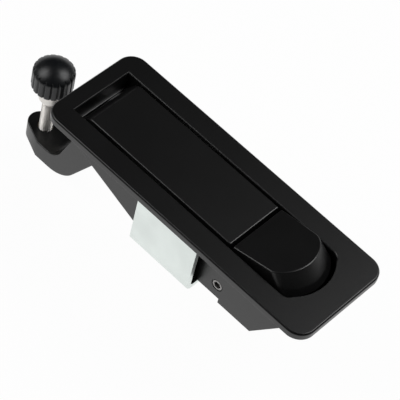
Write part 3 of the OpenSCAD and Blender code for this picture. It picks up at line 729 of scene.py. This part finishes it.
class LATCH_OT_hardware(bpy.types.Operator):
    """Finishes pins, rings, rivets, catch, inserts and bushes"""

    bl_idname = "latch.hardware"
    bl_label = "Pins and Inserts"

    def execute(self, context):
        dress(("pivot_pin", "pivot_clips", "trigger_pin_clips", "drive_pin", "stop_ring"), "turned_steel")
        # Catch and rivets darkened almost to black: painted shade for the gap they show through.
        dress(("lever_catch", "catch_rivets"), "blackened_steel")
        dress(("trigger_pin",), "dull_pin_steel")
        dress(("clamp_insert", "thread_insert", "pivot_bushes"), "turned_brass")
        return {"FINISHED"}


class LATCH_OT_knob(bpy.types.Operator):
    """Builds the lobed knob with its smooth dome"""

    bl_idname = "latch.knob"
    bl_label = "Bumper Knob"

    def execute(self, context):
        sizes = values()[1]
        rim = (KNOB_HIGH.y - KNOB_LOW.y) / 2
        radius, height, angle = turned_rows(self.profile(sizes, rim), LOBE_COLUMNS * sizes.knob_lobes)
        radius = radius - self.grooves(sizes, rim, angle, radius)
        knob = round_object("knob", middle(KNOB_LOW, KNOB_HIGH), radius, height, angle, sharp=50)
        settle(knob, "moulded_knob_black", "adjuster", "bumper_knob")
        return {"FINISHED"}

    def profile(self, sizes, rim):
        """Radius and height from the bore's end outwards and up: the bore, the underside, a round foot, the
        straight side, a shoulder that meets side and dome without a kink, and the dome, part of a ball."""
        low, bore = KNOB_LOW.z, sizes.collar_radius
        ball = DOME * rim
        ball_z = KNOB_HIGH.z - ball
        bend_r = sizes.knob_shoulder
        bend_z = ball_z + math.sqrt((ball - bend_r) ** 2 - (rim - bend_r) ** 2)
        lean = math.atan2(bend_z - ball_z, rim - bend_r)
        foot = np.linspace(-math.pi / 2, 0, 6)
        side_z = np.linspace(low + FOOT_ROUND, bend_z, 14)[1:-1]
        bend = np.linspace(0, lean, 10)
        dome = np.linspace(lean, math.pi / 2, 28)[1:]
        rows = np.concatenate([
            [(0.0, low + BORE_DEPTH), (bore, low + BORE_DEPTH), (bore, low), (bore + BORE_LIP, low)],
            np.stack([rim - FOOT_ROUND + FOOT_ROUND * np.cos(foot),
                      low + FOOT_ROUND + FOOT_ROUND * np.sin(foot)], -1),
            np.stack([np.full_like(side_z, rim), side_z], -1),
            np.stack([rim - bend_r + bend_r * np.cos(bend), bend_z + bend_r * np.sin(bend)], -1),
            np.stack([ball * np.cos(dome), ball_z + ball * np.sin(dome)], -1)])
        rows[-1, 0] = 0.0
        return rows

    def grooves(self, sizes, rim, angle, radius):
        """Depth of the narrow grooves between wide lobes: it falls off as a bell curve of the distance from
        a groove's middle, and fades out with the radius, on the dome and on the underside."""
        share = (angle * sizes.knob_lobes / (2 * math.pi)) % 1 - 0.5
        away = share * 2 * math.pi * rim / sizes.knob_lobes
        groove = np.exp(-(away / sizes.knob_groove_width) ** 2)
        fade = np.clip((radius - sizes.knob_smooth) / (rim - GROOVE_FADE - sizes.knob_smooth), 0, 1)
        return sizes.knob_groove * groove * fade * fade * (3 - 2 * fade)


class LATCH_OT_screws(bpy.types.Operator):
    """Builds the threaded adjusting screw and the threaded clamp screw"""

    bl_idname = "latch.screws"
    bl_label = "Threaded Screws"

    def execute(self, context):
        sizes = values()[1]
        self.adjusting(sizes)
        self.clamping(sizes)
        return {"FINISHED"}

    def threaded(self, name, below, thread, above, centre):
        """A screw in one grid: turned rows below, the thread's rows, and turned rows above."""
        parts = (turned_rows(below, THREAD_COLUMNS), thread, turned_rows(above, THREAD_COLUMNS))
        radius, height, angle = (np.concatenate(rows) for rows in zip(*parts))
        return round_object(name, centre, radius, height, angle, sharp=40)

    def adjusting(self, sizes):
        """The adjusting screw: point, ring groove, thread, straight collar and the seat inside the knob."""
        r, low, high = sizes.screw_radius, SCREW_LOW.z, SCREW_HIGH.z
        root = r - sizes.thread_depth
        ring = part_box("stop_ring")
        ring_low, ring_high = ring[0].z - RING_PLAY, ring[1].z + RING_PLAY
        groove = r - RING_GROOVE
        below = [(0, low), (r - POINT_BEVEL, low), (r, low + POINT_BEVEL), (r, ring_low),
                 (groove, ring_low), (groove, ring_high), (root, ring_high)]
        c, edge = sizes.collar_radius, sizes.collar_edge
        collar_low = KNOB_LOW.z - sizes.collar_height
        thread = thread_rows(ring_high, collar_low - COLLAR_FREE, r, root)
        seat, seat_z = c * SEAT_SHARE, KNOB_LOW.z + SEAT_STEP
        above = [(root, collar_low - COLLAR_NECK), (root, collar_low), (c - edge, collar_low),
                 (c, collar_low + edge), (c, seat_z), (seat, seat_z), (seat, high), (0, high)]
        centre = middle(SCREW_LOW, SCREW_HIGH)
        screw = self.threaded("threaded_adjusting_screw", below, thread, above, centre)
        settle(screw, "plated_screw", "adjuster", "adjusting_screw")

    def clamping(self, sizes):
        """The clamp screw: a plain cap head with a round socket, and a threaded shank."""
        r, low, high = sizes.screw_radius, CLAMP_LOW.z, CLAMP_HIGH.z
        root = r - sizes.thread_depth
        socket = SOCKET_SHARE * r
        head_r = (CLAMP_HIGH.y - CLAMP_LOW.y) / 2
        head = low + HEAD_HEIGHT
        below = [(0, low + SOCKET_DEPTH), (socket, low + SOCKET_DEPTH), (socket, low + SOCKET_BEVEL),
                 (socket + SOCKET_FLARE, low), (head_r - HEAD_BEVEL, low), (head_r, low + HEAD_BEVEL),
                 (head_r, head - HEAD_BACK_BEVEL), (head_r - HEAD_BACK_BEVEL, head), (r, head),
                 (r, head + PLAIN_NECK), (root, head + THREAD_START)]
        thread = thread_rows(head + THREAD_START, high - TIP_FREE, r, root)
        above = [(root, high - TIP_HEIGHT), (root - TIP_BEVEL, high), (0, high)]
        centre = middle(CLAMP_LOW, CLAMP_HIGH)
        screw = self.threaded("threaded_clamp_screw", below, thread, above, centre)
        settle(screw, "bright_zinc_plate", "clamp", "clamp_screw")


class LATCH_OT_springs(bpy.types.Operator):
    """Winds the lever's and the trigger's torsion springs"""

    bl_idname = "latch.springs"
    bl_label = "Torsion Springs"

    def execute(self, context):
        sizes = values()[1]
        pivot = middle(PIVOT_LOW, PIVOT_HIGH)
        coil = (PIVOT_HIGH.z - PIVOT_LOW.z) / 2 + LEVER_COIL_GAP
        low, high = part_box("lever_spring")
        wire = sizes.lever_wire
        half = (high.y - low.y) / 2 - wire
        path, out = coil_path(
            pivot, coil, half, LEVER_START, LEVER_SWEEP, high.x - pivot.x, pivot.x - low.x)
        spring = tube("wound_lever_spring", path, out, wire)
        settle(spring, "spring_wire", "lever", "lever_spring")
        pin = middle(TPIN_LOW, TPIN_HIGH)
        coil = (TPIN_HIGH.z - TPIN_LOW.z) / 2 + TRIGGER_COIL_GAP
        low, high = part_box("trigger_spring")
        wire = sizes.trigger_wire
        half = (high.y - low.y) / 2 - wire
        path, out = coil_path(
            pin, coil, half, TRIGGER_START, TRIGGER_SWEEP, high.z - pin.z, pin.x - low.x)
        spring = tube("wound_trigger_spring", path, out, wire)
        settle(spring, "spring_wire", "trigger", "trigger_spring")
        return {"FINISHED"}


class LATCH_PT_panel(bpy.types.Panel):
    """Lists the latch's pieces and values"""

    bl_idname = "LATCH_PT_panel"
    bl_label = "Compression Latch"
    bl_space_type = "VIEW_3D"
    bl_region_type = "UI"
    bl_category = "Latch"

    def draw(self, context):
        for step in STEPS:
            self.layout.operator(step.bl_idname)
        for group in values():
            for name in group.__annotations__:
                self.layout.prop(group, name)


STEPS = (LATCH_OT_stage, LATCH_OT_castings, LATCH_OT_bracket, LATCH_OT_hardware, LATCH_OT_knob,
         LATCH_OT_screws, LATCH_OT_springs)
GROUPS = {"latch_finish": LatchFinish, "latch_sizes": LatchSizes, "latch_stage": LatchStage}


def register():
    """Registers the classes and hangs the groups of values on the scene."""
    for cls in (*GROUPS.values(), *STEPS, LATCH_PT_panel):
        bpy.utils.register_class(cls)
    for name, cls in GROUPS.items():
        setattr(bpy.types.Scene, name, bpy.props.PointerProperty(type=cls))


def unregister():
    """Removes the groups of values and the classes."""
    for name in GROUPS:
        delattr(bpy.types.Scene, name)
    for cls in (LATCH_PT_panel, *reversed(STEPS), *GROUPS.values()):
        bpy.utils.unregister_class(cls)


def main():
    """Builds the dressed latch."""
    register()
    bpy.ops.latch.stage()
    bpy.ops.latch.castings()
    bpy.ops.latch.bracket()
    bpy.ops.latch.hardware()
    bpy.ops.latch.knob()
    bpy.ops.latch.screws()
    bpy.ops.latch.springs()


if __name__ == "__main__":
    main()
